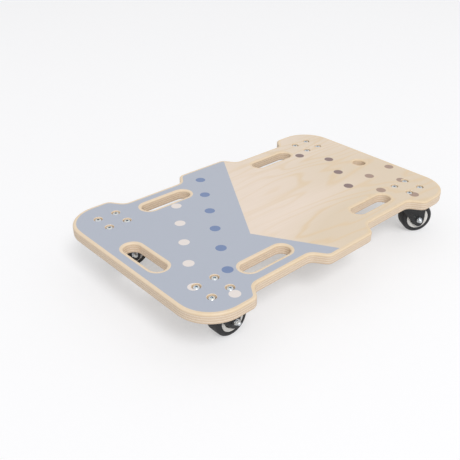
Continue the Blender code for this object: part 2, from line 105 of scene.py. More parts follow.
LAMP_PLACE = Vector((-2.4, -5.9, 7.2))
LAMP_AIM = Vector((0, 0, 0.05))
CAMERA_AIM = Vector((-0.0682, -0.0707, deck_high.z))


def linear(code):
    """Linear RGBA of an sRGB hex code."""
    channels = [int(code[i : i + 2], 16) / 255 for i in (0, 2, 4)]
    return (*[c / 12.92 if c <= 0.04045 else ((c + 0.055) / 1.055) ** 2.4 for c in channels], 1.0)


def amount(name, description, default, **values):
    """A number that a user may change."""
    return FloatProperty(name=name, description=description, default=default, **values)


def length(name, description, default):
    """A size that a user may change."""
    return amount(name, description, default, min=0.0, precision=5, unit="LENGTH")


def angle(name, description, default):
    """An angle that a user may change, given in degrees."""
    return amount(name, description, radians(default), subtype="ANGLE")


def colour(name, description, code):
    """A colour that a user may change, given as sRGB hex."""
    return FloatVectorProperty(
        name=name, description=description, default=linear(code), size=4, min=0.0, max=1.0, subtype="COLOR"
    )


class DeckSettings(bpy.types.PropertyGroup):
    """Sizes of the plywood deck and of what is bored in it."""

    waist_depth: length("Waist depth", "How far each side is drawn in beside its hand slots", 0.026)
    middle_lobe: length("Middle lobe", "Length of the wide part in the middle of each side", 0.125)
    corner_lobe: length("Corner lobe", "Length of the wide part over each caster", 0.1035)
    step_slope: angle("Step slope", "Slope of the step between a waist and a lobe", 55)
    step_radius: length("Step radius", "Radius of the corners at both ends of a step", 0.0145)
    corner_radius: length("Corner radius", "Radius of the deck's four corners", 0.061)
    edge_round: length("Edge round", "Radius routed along every edge of the sheet", 0.003)
    print_margin: length("Print margin", "Bare veneer left between the print and the routed edges", 0.0028)
    side_slot_length: length("Side slot length", "Length of the hand slots along the sides", 0.098)
    side_slot_width: length("Side slot width", "Width of the hand slots along the sides", 0.028)
    end_slot_length: length("End slot length", "Length of the hand slot across the end", 0.094)
    end_slot_width: length("End slot width", "Width of the hand slot across the end", 0.028)
    rope_hole: length("Rope hole", "Diameter of the hole for a pull rope", 0.025)
    counterbore: length("Counterbore", "Diameter of the bore that sinks a bolt head", 0.0142)
    counterbore_easing: length("Counterbore easing", "Chamfer round the rim of a counterbore", 0.0006)


class CasterSettings(bpy.types.PropertyGroup):
    """Sizes of the casters' pieces and fasteners."""

    head_diameter: length("Bolt head", "Diameter of a deck bolt's button head", 0.012)
    head_height: length("Bolt head height", "Height of a deck bolt's button head", 0.0033)
    bolt_diameter: length("Deck bolt", "Diameter of a deck bolt's shank", 0.006)
    socket_width: length("Socket width", "Hexagon socket of a deck bolt, across its flats", 0.004)
    socket_depth: length("Socket depth", "Depth of a deck bolt's hexagon socket", 0.002)
    nut_flats: length("Deck nut", "Deck nut, across its flats", 0.010)
    plate_thickness: length("Plate thickness", "Thickness of the plate bolted under the deck", 0.0025)
    plate_corner: length("Plate corner", "Radius of the plate's corners", 0.006)
    king_pin: length("King pin", "Diameter of the pin that the fork swivels on", 0.009)
    king_pin_head: length("King pin head", "Diameter of the pin's riveted head", 0.015)
    king_pin_head_height: length("King pin head height", "Height of the pin's riveted head", 0.0025)
    race_thickness: length("Race thickness", "Thickness of the pressed rings of the swivel bearing", 0.001)
    balls: IntProperty(name="Balls", description="Balls in each swivel bearing", default=24, min=3)
    ball_radius: length("Ball radius", "Radius of a ball in the swivel bearing", 0.0015)
    fork_steel: length("Fork steel", "Thickness of the sheet that the fork is pressed from", 0.0025)
    fork_bend: length("Fork bend", "Outer radius where the fork's legs bend down", 0.003)
    seat_height: length("Seat height", "How far the bearing seat is pressed up from the fork's crown", 0.003)
    leg_eye: length("Leg eye", "Radius of the fork leg's end round the axle", 0.0125)
    leg_front_depth: length("Leg front", "Depth of the upright front edge of a fork leg", 0.006)
    leg_front_radius: length("Leg front radius", "Radius under the front edge of a fork leg", 0.004)
    leg_back: length("Leg back", "How far a fork leg's shoulder reaches behind the axle", 0.0125)
    leg_shoulder_drop: length("Leg shoulder", "How far the shoulder lies below the crown", 0.0115)
    leg_shoulder_radius: length("Leg shoulder radius", "Radius of a fork leg's shoulder", 0.008)
    axle_diameter: length("Axle", "Diameter of the axle bolt", 0.006)
    axle_flats: length("Axle nut", "Head and nut of the axle bolt, across their flats", 0.010)
    axle_head: length("Axle head", "Height of the axle bolt's head", 0.004)
    axle_end: length("Axle end", "How far the axle bolt stands out of its nut", 0.004)
    tyre_thickness: length("Tyre thickness", "Thickness of the tyre on its rim", 0.0087)
    tyre_shoulder: length("Tyre shoulder", "Radius of the tyre's shoulders", 0.005)
    rim_thickness: length("Rim thickness", "Thickness of the hub's rim", 0.0065)
    web_thickness: length("Web thickness", "Thickness of the web between rim and boss", 0.008)
    boss: length("Boss", "Diameter of the hub's boss", 0.016)
    pressing_edge: length("Pressing edge", "Round left on the edges of the pressed steel", 0.0004)


class PaintSettings(bpy.types.PropertyGroup):
    """Pattern and colours of the deck's face."""

    split_x: length("Split X", "Where the two sides of the field's notch meet, along the deck", -0.1003)
    split_y: length("Split Y", "Where the two sides of the field's notch meet, across the deck", -0.0576)
    split_left: angle("Left split", "Angle between the notch's left side and the deck's length", 57.5)
    split_right: angle("Right split", "Angle between the notch's right side and the deck's length", 59.4)
    dot_diameter: length("Dot diameter", "Diameter of the painted dots", 0.018)
    dot_pitch: length("Dot pitch", "Distance between neighbouring dots along the deck", 0.0643)
    row_pitch: length("Row pitch", "Distance between the rows of dots", 0.0518)
    field: colour("Painted field", "Paint at the slot end", "B1B7C4")
    cream_dots: colour("Cream dots", "Paler dots on the painted field", "E8DFDA")
    slate_dots: colour("Slate dots", "Blue dots on the painted field", "7084AC")
    dark_dots: colour("Dark dots", "Darker brown dots on the bare wood", "826C69")
    light_dots: colour("Light dots", "Lighter brown dots on the bare wood", "A58B7C")


class FinishSettings(bpy.types.PropertyGroup):
    """Colours of the wood and of the casters' materials."""

    veneer: colour("Veneer", "Birch face veneer under clear lacquer", "EDDCCC")
    veneer_grain: colour("Veneer grain", "Darker grain lines of the face veneer", "DECBB7")
    veneer_band: colour("Veneer band", "Yellower bands of the face veneer", "E0CEB6")
    veneer_ring: colour("Veneer ring", "Rings of the face veneer's figure", "E1C8A4")
    long_ply: colour("Long ply", "Edge of the plies whose grain runs along the deck", "F7E7D3")
    cross_ply: colour("Cross ply", "Edge of the plies whose grain runs across the deck", "EAD3B8")
    glue_line: colour("Glue line", "Glue between two plies", "B6946E")
    routed_edge: colour("Routed edge", "Yellower wood along the top of the routed edges", "E3CAA3")
    fork_black: colour("Fork black", "Powder coat of the forks", "1B1C1E")
    zinc: colour("Zinc", "Bright zinc plate", "CDD2D8")
    zinc_tint: colour("Zinc tint", "Yellower patches of the zinc plate", "D4CFBF")
    # Painted shade: this dark zinc colour stands for the shade deep inside the bolts' sockets
    socket_zinc: colour("Socket zinc", "Duller zinc inside the bolts' sockets", "56666F")
    nylon: colour("Nylon", "Moulded nylon of the wheel hubs", "EBE9E4")
    lock_ring: colour("Lock ring", "Nylon ring in the lock nuts", "C9D3DC")
    rubber: colour("Rubber", "Rubber of the tyres", "1D1D1F")
    rubber_dust: colour("Rubber dust", "Dusty bloom on the rubber", "353537")


class StageSettings(bpy.types.PropertyGroup):
    """Floor, light and camera."""

    floor: colour("Floor", "Colour of the floor", "C8C8CA")
    floor_glow: amount("Floor glow", "Strength of the floor's own light to the camera", 0.42, min=0.0)
    daylight: amount("Daylight", "Strength of the even light from all round", 0.57, min=0.0)
    key_power: amount("Key power", "Power of the large lamp in front", 478.0, min=0.0, unit="POWER")
    key_size: length("Key size", "Width of the large lamp", 3.2)
    camera_azimuth: angle("Camera azimuth", "Direction that the camera looks from", -45.825)
    camera_elevation: angle("Camera elevation", "Height of the camera above the horizon", 30.633)
    camera_roll: angle("Camera roll", "Turn of the camera about its own axis", 2.004)
    camera_distance: length("Camera distance", "Distance from the camera to what it is aimed at", 1.0352)
    camera_lens: amount("Camera lens", "Focal length of the camera in millimetres", 49.21, min=1.0)
    camera_shift: amount("Camera shift", "Sideways shift of the picture, in picture widths", -0.08696)


def settings():
    """The scene's settings for the deck, the casters, the paint, the finishes and the stage."""
    scene = bpy.context.scene
    return scene.board_deck, scene.board_casters, scene.board_paint, scene.board_finish, scene.board_stage


# Modelling steps that several pieces share


def select_only(obj):
    """Selects one object and makes it active."""
    bpy.ops.object.select_all(action="DESELECT")
    obj.select_set(True)
    bpy.context.view_layer.objects.active = obj


def added(add, name, **values):
    """Adds a primitive with nothing else selected, and applies its place to its mesh."""
    bpy.ops.object.select_all(action="DESELECT")
    add(**values)
    obj = bpy.context.object
    obj.name = name
    bpy.ops.object.transform_apply(location=True, rotation=True, scale=True)
    return obj


@contextmanager
def editing(obj):
    """Edit mode on one object, with all of it selected."""
    select_only(obj)
    bpy.ops.object.mode_set(mode="EDIT")
    bpy.ops.mesh.select_mode(type="VERT")
    bpy.ops.mesh.select_all(action="SELECT")
    yield
    bpy.ops.object.mode_set(mode="OBJECT")


def pick(obj, kind, test):
    """Selects only the verts, edges or faces that pass the test."""
    bpy.ops.mesh.select_mode(type={"verts": "VERT", "edges": "EDGE", "faces": "FACE"}[kind])
    bpy.ops.mesh.select_all(action="DESELECT")
    mesh = bmesh.from_edit_mesh(obj.data)
    for item in getattr(mesh, kind):
        if test(item):
            item.select_set(True)
    bmesh.update_edit_mesh(obj.data)


def round_corner(obj, before, corner, after, radius):
    """Rounds a corner of a wire with an arc that meets both of its sides."""
    turn = (corner - before).angle(after - corner)
    pick(obj, "verts", lambda vert: (vert.co - corner).length < MERGE)
    bpy.ops.mesh.bevel(
        offset=radius * tan(turn / 2),
        segments=max(2, round(turn / ARC_STEP)),
        profile=0.5,
        affect="VERTICES",
        clamp_overlap=False,
    )


def traced(name, corners, closed=True):
    """A wire drawn through corners, each given as its place and the radius it is rounded to."""
    places = [Vector(place) for place, _ in corners]
    wire = added(bpy.ops.mesh.primitive_plane_add, name, size=OVERRUN)
    with editing(wire):
        bpy.ops.mesh.merge(type="CENTER")
        bpy.ops.transform.translate(value=places[0])
        for before, after in zip(places, places[1:]):
            bpy.ops.mesh.extrude_region_move(TRANSFORM_OT_translate={"value": after - before})
        if closed:
            ends = (places[0], places[-1])
            pick(wire, "verts", lambda vert: min((vert.co - end).length for end in ends) < MERGE)
            bpy.ops.mesh.edge_face_add()
        for i, (_, radius) in enumerate(corners):
            if radius > 0:
                round_corner(wire, places[i - 1], places[i], places[(i + 1) % len(places)], radius)
    return wire


def filled(wire, thickness):
    """Fills a closed wire and draws the face out to a solid."""
    with editing(wire):
        bpy.ops.mesh.edge_face_add()
        bpy.ops.mesh.extrude_region_move(TRANSFORM_OT_translate={"value": thickness})
        bpy.ops.mesh.select_all(action="SELECT")
        bpy.ops.mesh.normals_make_consistent(inside=False)
    return wire


def turned(name, profile, steps, ring=False):
    """A piece spun about Z from a profile of radius, height and corner radius."""
    wire = traced(name, [((radius, 0, height), corner) for radius, height, corner in profile], closed=ring)
    with editing(wire):
        bpy.ops.mesh.spin(steps=steps, angle=2 * pi, center=(0, 0, 0), axis=(0, 0, 1))
        bpy.ops.mesh.select_all(action="SELECT")
        bpy.ops.mesh.remove_doubles(threshold=MERGE)
        bpy.ops.mesh.normals_make_consistent(inside=False)
    return wire


def apply_modifier(obj, kind, **values):
    """Adds a modifier with its settings and applies it."""
    select_only(obj)
    modifier = obj.modifiers.new(kind.lower(), kind)
    for name, value in values.items():
        setattr(modifier, name, value)
    bpy.ops.object.modifier_apply(modifier=modifier.name)


def combine(obj, operation, other):
    """Cuts, joins or intersects a solid with another one, which is used up."""
    apply_modifier(obj, "BOOLEAN", operation=operation, object=other)
    bpy.data.objects.remove(other, do_unlink=True)


def rod(sides, radius, depth, place, **turn):
    """An upright rod, round or with a few flat sides."""
    values = {"vertices": sides, "radius": radius, "depth": depth, "location": place, **turn}
    return added(bpy.ops.mesh.primitive_cylinder_add, "rod", **values)


def block(name, size, place, radius, segments):
    """A block whose upright edges are rounded."""
    piece = added(bpy.ops.mesh.primitive_cube_add, name, size=1, location=place, scale=size)
    with editing(piece):
        pick(piece, "edges", lambda edge: abs(edge.verts[0].co.z - edge.verts[1].co.z) > MERGE)
        bpy.ops.mesh.bevel(offset=radius, segments=segments)
    return piece


def soften(obj, width):
    """Rounds every sharp edge a little, as pressing and coating leave it."""
    apply_modifier(obj, "BEVEL", width=width, segments=3, limit_method="ANGLE", angle_limit=SHARP_ANGLE)


def joined(first, *others):
    """One object from several, each left as its own closed shell."""
    select_only(first)
    for other in others:
        other.select_set(True)
    bpy.ops.object.join()
    return first


def moved_copies(model, matrices):
    """Copies with their own mesh, each moved to its place. The model is used up."""
    copies = []
    for matrix in matrices:
        select_only(model)
        bpy.ops.object.duplicate()
        copy = bpy.context.object
        copy.matrix_world = matrix
        bpy.ops.object.transform_apply(location=True, rotation=True, scale=True)
        copies.append(copy)
    bpy.data.objects.remove(model, do_unlink=True)
    return copies


def polished(obj, *materials):
    """Smooth shading between sharp edges, with flat faces kept flat, and the piece's materials."""
    select_only(obj)
    bpy.ops.object.shade_smooth_by_angle(angle=SHARP_ANGLE)
    apply_modifier(obj, "WEIGHTED_NORMAL", keep_sharp=True)
    for material in materials:
        obj.data.materials.append(material)
    return obj


def give_second_material(obj, test, margin=0.0):
    """Gives the faces that pass the test, but for a margin along them, the object's second material."""
    with editing(obj):
        pick(obj, "faces", test)
        if margin > 0:
            bpy.ops.mesh.inset(thickness=margin)
        obj.active_material_index = 1
        bpy.ops.object.material_slot_assign()


def set_in_place(piece, name, node, body):
    """Names a finished piece, and puts it on its body in place of its CAD node."""
    piece.name = name
    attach(piece, body)
    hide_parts(node)


def place_copies(model, places, matrix, name, node, body):
    """Puts a copy of a model in each place. Name, node and body hold {} where the place's name goes."""
    copies = moved_copies(model, [matrix(place) for place in places])
    for place, copy in zip(places, copies):
        set_in_place(copy, name.format(place), node.format(place), body.format(place))


# Places and sizes that the frame gives


def joint_place(name):
    return Vector(next(joint["pos_m"] for joint in frame["joints"] if joint["name"] == name))


def opening_middle(name):
    """Middle of one of the record's openings, seen from above."""
    openings = frame["record"]["physics"]["openings"]
    low, high = next(opening["box_m"] for opening in openings if opening["name"] == name)
    return (low[0] + high[0]) / 2, (low[1] + high[1]) / 2


def mount_matrix(corner):
    """Middle of a caster, not turned, with heights left as they are."""
    pivot = joint_place("swivel_" + corner)
    return Matrix.Translation((pivot.x, pivot.y, 0))


def fork_matrix(corner):
    """Middle of a caster, turned as its fork stands."""
    reach = joint_place("spin_" + corner) - joint_place("swivel_" + corner)
    return mount_matrix(corner) @ Matrix.Rotation(atan2(reach.y, reach.x), 4, "Z")


def axle_matrix(corner):
    """Middle of a wheel, with Z along the axle towards its nut."""
    axle = joint_place("spin_" + corner)
    reach = axle - joint_place("swivel_" + corner)
    trail = sqrt(reach.x**2 + reach.y**2)
    return fork_matrix(corner) @ Matrix.Translation((trail, 0, axle.z)) @ Matrix.Rotation(pi / 2, 4, "X")


def bolt_matrix(place):
    low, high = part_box("deck_bolt_" + place)
    middle = (low + high) / 2
    return Matrix.Translation((middle.x, middle.y, 0))


def hung_nut_matrix(place):
    """A deck bolt's axis, with Z down from the top of its nut."""
    _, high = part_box(f"deck_nut_{SQUARE}_1")
    return bolt_matrix(place) @ Matrix.Translation((0, 0, high.z)) @ Matrix.Rotation(pi, 4, "X")


# Materials


def set_inputs(tree, node, inputs):
    """Gives a node its inputs. A socket is linked, and anything else is the input's value."""
    for key, value in inputs.items():
        if isinstance(value, bpy.types.NodeSocket):
            tree.links.new(value, node.inputs[key])
        else:
            node.inputs[key].default_value = value


def add_node(tree, kind, inputs=None, output=0, **values):
    """Adds a node with its settings and inputs, and returns one of its outputs.

    A MapRange node takes its value at 0, the ends of the range it comes from at 1 and 2, and the ends of the
    range it goes to at 3 and 4.
    """
    node = tree.nodes.new("ShaderNode" + kind)
    for name, value in values.items():
        setattr(node, name, value)
    set_inputs(tree, node, inputs or {})
    return node.outputs[output]


def new_material(name):
    """A node material. Returns it, its node tree, its shader and the place on the object."""
    material = bpy.data.materials.new(name)
    material.use_nodes = True
    tree = material.node_tree
    return material, tree, tree.nodes["Principled BSDF"], add_node(tree, "TexCoord", output="Object")


def shared_material(name, make, *values):
    """A material that several operators use, made by the first of them."""
    return bpy.data.materials.get(name) or make(name, *values)


def drawn_out_noise(tree, place, lengths, detail, roughness):
    """Noise whose clouds have these lengths along X, Y and Z."""
    drawn = add_node(tree, "Mapping", {"Vector": place, "Scale": [1 / size for size in lengths]})
    values = {"Vector": drawn, "Scale": 1.0, "Detail": detail, "Roughness": roughness}
    return add_node(tree, "TexNoise", values)


def veneer_face(tree, place, finish):
    """Birch face veneer: rings cut at a slant, broad yellower bands and fine grain. Returns colour, grain."""
    # Fine grain 2.5 mm apart and 120 mm long, coarser than birch's 0.5 mm so that it shows
    grain = drawn_out_noise(tree, place, (0.12, 0.0025, 0.0025), detail=5.0, roughness=0.62)
    grain_depth = add_node(tree, "MapRange", {0: grain, 1: 0.36, 2: 0.75, 4: 0.35})

    # Yellower bands, some 120 mm wide and 500 mm long, most of them on the right and at the rope end
    band = drawn_out_noise(tree, place, (0.5, 0.12, 0.12), detail=1.0, roughness=0.4)
    lean = add_node(tree, "VectorMath", {0: place, 1: (0.75, -1.5, 0)}, "Value", operation="DOT_PRODUCT")
    leaning = add_node(tree, "Math", {0: band, 1: lean}, operation="ADD")
    band_depth = add_node(tree, "MapRange", {0: leaning, 1: 0.46, 2: 0.76})

    # Growth rings about 10 mm apart: level lines of a slow unevenness 350 mm long and 60 mm wide
    figure = drawn_out_noise(tree, place, (0.35, 0.06, 0.06), detail=2.0, roughness=0.3)
    turns = add_node(tree, "Math", {0: figure, 1: 10.0}, operation="MULTIPLY")
    from_ring = add_node(tree, "Math", {0: turns, 1: 0.5}, operation="PINGPONG")
    near_ring = {0: from_ring, 1: 0.26, 2: 0.5, 4: 0.7}
    ring = add_node(tree, "MapRange", near_ring, interpolation_type="SMOOTHSTEP")
    clear = add_node(tree, "MapRange", {0: leaning, 1: 0.40, 2: 0.62, 3: 0.15})
    ring_depth = add_node(tree, "Math", {0: ring, 1: clear}, operation="MULTIPLY")

    veneer = finish.veneer
    for depth, tone in (
        (grain_depth, finish.veneer_grain),
        (band_depth, finish.veneer_band),
        (ring_depth, finish.veneer_ring),
    ):
        veneer = add_node(tree, "Mix", {0: depth, 6: veneer, 7: tone}, MIXED_COLOUR, data_type="RGBA")
    return veneer, grain


def give_lacquer(tree, shader, tone, grain, dullness, relief):
    """Clear satin lacquer on a colour, with the grain felt through it."""
    sheen = add_node(tree, "Math", {0: grain, 1: 0.12, 2: dullness}, operation="MULTIPLY_ADD")
    bump = add_node(tree, "Bump", {"Strength": relief, "Distance": 0.0003, "Height": grain})
    set_inputs(tree, shader, {"Base Color": tone, "Roughness": sheen, "Normal": bump})
    set_inputs(tree, shader, {"Coat Weight": 0.15, "Coat Roughness": 0.3})


def birch_plywood(finish):
    """Bare birch plywood under clear satin lacquer.

    The routed edges show nine plies, pale and dark in turn, with thin glue lines. The margin round the print
    and the rounds below it are yellower, as the router left them.
    """
    material, tree, shader, place = new_material("lacquered_birch_plywood")
    veneer, grain = veneer_face(tree, place, finish)
    height = add_node(tree, "SeparateXYZ", {0: place}, "Z")
    skin = 0.00002
    under = add_node(tree, "Math", {0: height, 1: deck_low.z + skin}, operation="LESS_THAN")

    # Nine plies down the edge: every second one shows end grain, and a glue line 0.3 mm wide parts them
    ply = (deck_high.z - deck_low.z) / 9
    depth = add_node(tree, "Math", {0: deck_high.z, 1: height}, operation="SUBTRACT")
    plies = add_node(tree, "Math", {0: depth, 1: ply}, operation="DIVIDE")
    pair = add_node(tree, "Math", {0: plies, 1: 0.5}, operation="MULTIPLY")
    half = add_node(tree, "Math", {0: pair}, operation="FRACT")
    crossed = add_node(tree, "Math", {0: half, 1: 0.5}, operation="GREATER_THAN")
    from_line = add_node(tree, "Math", {0: plies, 1: 0.5}, operation="PINGPONG")
    on_line = add_node(tree, "Math", {0: from_line, 1: 0.085}, operation="LESS_THAN")
    inside = add_node(tree, "Math", {0: plies, 1: 0.5}, operation="GREATER_THAN")
    glue = add_node(tree, "Math", {0: on_line, 1: inside}, operation="MULTIPLY")

    # Cut ends of the fibres: short streaks 6 mm long and 0.5 mm high
    fibre = drawn_out_noise(tree, place, (0.006, 0.006, 0.0005), detail=3.0, roughness=0.6)
    fibre_depth = add_node(tree, "MapRange", {0: fibre, 1: 0.35, 2: 0.75, 4: 0.3})

    # Down to 4.5 mm the cut wood is yellower
    cut = add_node(tree, "MapRange", {0: depth, 1: 0.0020, 2: 0.0045, 3: 0.8, 4: 0.0})
    routed = {0: 0.6, 6: veneer, 7: finish.routed_edge}
    yellow = add_node(tree, "Mix", routed, MIXED_COLOUR, data_type="RGBA")

    wood = finish.long_ply
    for share, tone in (
        (crossed, finish.cross_ply),
        (fibre_depth, finish.cross_ply),
        (glue, finish.glue_line),
        (cut, yellow),
        (under, veneer),
    ):
        wood = add_node(tree, "Mix", {0: share, 6: wood, 7: tone}, MIXED_COLOUR, data_type="RGBA")
    dullness = add_node(tree, "MapRange", {0: under, 3: EDGE_DULLNESS, 4: FACE_DULLNESS})
    give_lacquer(tree, shader, wood, grain, dullness, BARE_RELIEF)
    return material


def printed_veneer(paint, finish):
    """Birch face veneer with a screen-printed field and dots, all under clear satin lacquer."""
    material, tree, shader, place = new_material("printed_birch_veneer")
    veneer, grain = veneer_face(tree, place, finish)

    # The painted field ends in a notch whose two sides meet in a point
    notch = (paint.split_x, paint.split_y, 0)
    from_notch = add_node(tree, "VectorMath", {0: place, 1: notch}, operation="SUBTRACT")
    left = (sin(paint.split_left), -cos(paint.split_left), 0)
    right = (sin(paint.split_right), cos(paint.split_right), 0)
    beyond_left, beyond_right = (
        add_node(tree, "VectorMath", {0: from_notch, 1: side}, "Value", operation="DOT_PRODUCT")
        for side in (left, right)
    )
    nearest = add_node(tree, "Math", {0: beyond_left, 1: beyond_right}, operation="MINIMUM")
    printed = add_node(tree, "Math", {0: nearest, 1: 0.0}, operation="LESS_THAN")
    field = {0: printed, 6: veneer, 7: paint.field}
    face = add_node(tree, "Mix", field, MIXED_COLOUR, data_type="RGBA")

    # Dots on a triangular grid, in the columns and rows given, two colours at each end
    slot_end, rope_end = (-0.1320, 0.0968), (0.2215, 0.0501)
    for (x, y), tone, cells in (
        (slot_end, paint.cream_dots, ((0, 0), (0, 1), (0, 2), (0, 3), (0, 4), (1, 5))),
        (slot_end, paint.slate_dots, ((1, -1), (1, 0), (1, 1), (1, 2), (1, 3), (1, 4))),
        (rope_end, paint.dark_dots, ((-1, -1), (0, 0), (0, 1), (0, 2))),
        (rope_end, paint.light_dots, ((2, 2), (1, 2), (1, 3), (2, 3), (2, 4))),
    ):
        closest = 1.0
        for column, row in cells:
            middle = (x + paint.dot_pitch * (column - row / 2), y - paint.row_pitch * row, deck_high.z)
            away = add_node(tree, "VectorMath", {0: place, 1: middle}, "Value", operation="DISTANCE")
            closest = add_node(tree, "Math", {0: away, 1: closest}, operation="MINIMUM")
        in_dot = add_node(tree, "Math", {0: closest, 1: paint.dot_diameter / 2}, operation="LESS_THAN")
        face = add_node(tree, "Mix", {0: in_dot, 6: face, 7: tone}, MIXED_COLOUR, data_type="RGBA")
        printed = add_node(tree, "Math", {0: printed, 1: in_dot}, operation="MAXIMUM")

    # Less of the grain is felt through the print
    relief = add_node(tree, "MapRange", {0: printed, 3: BARE_RELIEF, 4: PRINT_RELIEF})
    give_lacquer(tree, shader, face, grain, FACE_DULLNESS, relief)
    return material


def patchy_material(name, tones, patch, spread, grain, gloss, relief, look):
    """A material that turns from one tone to another in patches, with a fine grain that is felt.

    patch and grain are a size and a detail of noise. spread is where the patches begin and end, and the most
    of the second tone. gloss is which noise varies the roughness, and its two ends. relief is the strength
    and the height of the grain.
    """
    material, tree, shader, place = new_material(name)
    noises = [
        add_node(tree, "TexNoise", {"Vector": place, "Scale": 1 / size, "Detail": detail})
        for size, detail in (patch, grain)
    ]
    begin, end, most = spread
    depth = add_node(tree, "MapRange", {0: noises[0], 1: begin, 2: end, 4: most})
    tint = add_node(tree, "Mix", {0: depth, 6: tones[0], 7: tones[1]}, MIXED_COLOUR, data_type="RGBA")
    which, least, roughest = gloss
    rough = add_node(tree, "MapRange", {0: noises[which], 1: 0.3, 2: 0.7, 3: least, 4: roughest})
    strength, rise = relief
    bump = add_node(tree, "Bump", {"Strength": strength, "Distance": rise, "Height": noises[1]})
    set_inputs(tree, shader, {"Base Color": tint, "Roughness": rough, "Normal": bump, **look})
    return material


def powder_coat(finish):
    """Semi-gloss black powder coat on pressed steel: a fine orange peel and a slightly uneven gloss.

    The orange peel is 1.2 mm across, coarser than the real 0.6 mm so that it shows.
    """
    black = (finish.fork_black, finish.fork_black)
    clouds, spread, peel = (0.015, 3.0), (0.3, 0.7, 1.0), (0.0012, 2.0)
    gloss, relief = (0, 0.32, 0.46), (0.25, 0.0002)
    return patchy_material("black_powder_coat", black, clouds, spread, peel, gloss, relief, {})


def zinc_plate(name, *tones):
    """Zinc plate on steel: faint patches of a second tone, and a gloss that varies from place to place.

    The gloss follows the marks that tumbling leaves, 0.8 mm across.
    """
    patches, spread, marks = (0.007, 3.0), (0.45, 0.7, 0.6), (0.0008, 4.0)
    gloss, relief = (1, 0.22, 0.4), (0.15, 0.0001)
    return patchy_material(name, tones, patches, spread, marks, gloss, relief, {"Metallic": 1.0})


def moulded_nylon(name, tone):
    """Moulded nylon: satin, slightly translucent, with faint flow clouds.

    The mould left a spark texture 1 mm across.
    """
    tones = ([0.93 * channel for channel in tone[:3]] + [1.0], tone)
    clouds, spread, sparks = (0.012, 3.0), (0.3, 0.7, 1.0), (0.001, 2.0)
    gloss, relief = (0, 0.38, 0.5), (0.15, 0.0001)
    look = {"IOR": 1.53, "Subsurface Weight": 0.08, "Subsurface Radius": (0.003, 0.003, 0.0025)}
    return patchy_material(name, tones, clouds, spread, sparks, gloss, relief, look)


def tyre_rubber(finish):
    """Moulded black rubber: matt, with a dusty bloom in patches and a moulded grain 0.9 mm across."""
    tones = (finish.rubber, finish.rubber_dust)
    bloom, spread, grain = (0.009, 5.0), (0.42, 0.72, 1.0), (0.0009, 3.0)
    gloss, relief = (0, 0.55, 0.75), (0.3, 0.0002)
    return patchy_material("black_tyre_rubber", tones, bloom, spread, grain, gloss, relief, {"IOR": 1.52})


# Deck


def deck_blank(deck):
    """The deck's outline, traced for one quarter and mirrored, then drawn up to the sheet's thickness."""
    end_x, side_y, floor = deck_high.x, deck_high.y, deck_low.z
    waist_y = side_y - deck.waist_depth
    half_run = deck.waist_depth / tan(deck.step_slope) / 2
    inner_x = deck.middle_lobe / 2
    outer_x = end_x - deck.corner_lobe
    quarter = [
        ((0, side_y, floor), 0),
        ((inner_x - half_run, side_y, floor), deck.step_radius),
        ((inner_x + half_run, waist_y, floor), deck.step_radius),
        ((outer_x - half_run, waist_y, floor), deck.step_radius),
        ((outer_x + half_run, side_y, floor), deck.step_radius),
        ((end_x, side_y, floor), deck.corner_radius),
        ((end_x, 0, floor), 0),
    ]
    blank = traced("deck_blank", quarter, closed=False)
    apply_modifier(blank, "MIRROR", use_axis=(True, True, False), merge_threshold=MERGE)
    return filled(blank, (0, 0, deck_high.z - floor))


def slot_cutter(x, y, size_x, size_y):
    """An upright block with round ends, through the whole sheet."""
    middle_z = (deck_low.z + deck_high.z) / 2
    size = (size_x, size_y, deck_high.z - deck_low.z + 2 * OVERRUN)
    cutter = block("slot", size, (x, y, middle_z), min(size_x, size_y) / 2 - 2 * MERGE, segments=16)
    with editing(cutter):
        bpy.ops.mesh.remove_doubles(threshold=5 * MERGE)
    return cutter


def bolt_hole_cutters(deck, casters):
    """All sixteen counterbores with their holes, each with an eased rim."""
    _, bolt_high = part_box(f"deck_bolt_{SQUARE}_1")
    floor = bolt_high.z - casters.head_height - GAP
    bore = deck.counterbore / 2
    hole = casters.bolt_diameter / 2 + GAP
    wide = bore + deck.counterbore_easing
    profile = [
        (0, deck_high.z + OVERRUN, 0),
        (wide, deck_high.z + OVERRUN, 0),
        (wide, deck_high.z, 0),
        (bore, deck_high.z - deck.counterbore_easing, 0),
        (bore, floor, 0),
        (hole, floor, 0),
        (hole, deck_low.z - OVERRUN, 0),
        (0, deck_low.z - OVERRUN, 0),
    ]
    return joined(*moved_copies(turned("bolt_hole", profile, BOLT_STEPS), map(bolt_matrix, BOLT_PLACES)))


def is_sharp(edge):
    """Whether an edge between two faces is a corner and not part of a rounding."""
    return len(edge.link_faces) == 2 and edge.calc_face_angle() > SHARP_ANGLE


def is_rim(edge):
    """Whether an edge runs level round the top or bottom of a wall."""
    return abs(edge.verts[0].co.z - edge.verts[1].co.z) < MERGE and is_sharp(edge)


def is_top(face):
    """Whether a face is the flat top of the deck."""
    return face.normal.z > 0.99 and face.calc_center_median().z > deck_high.z - MERGE


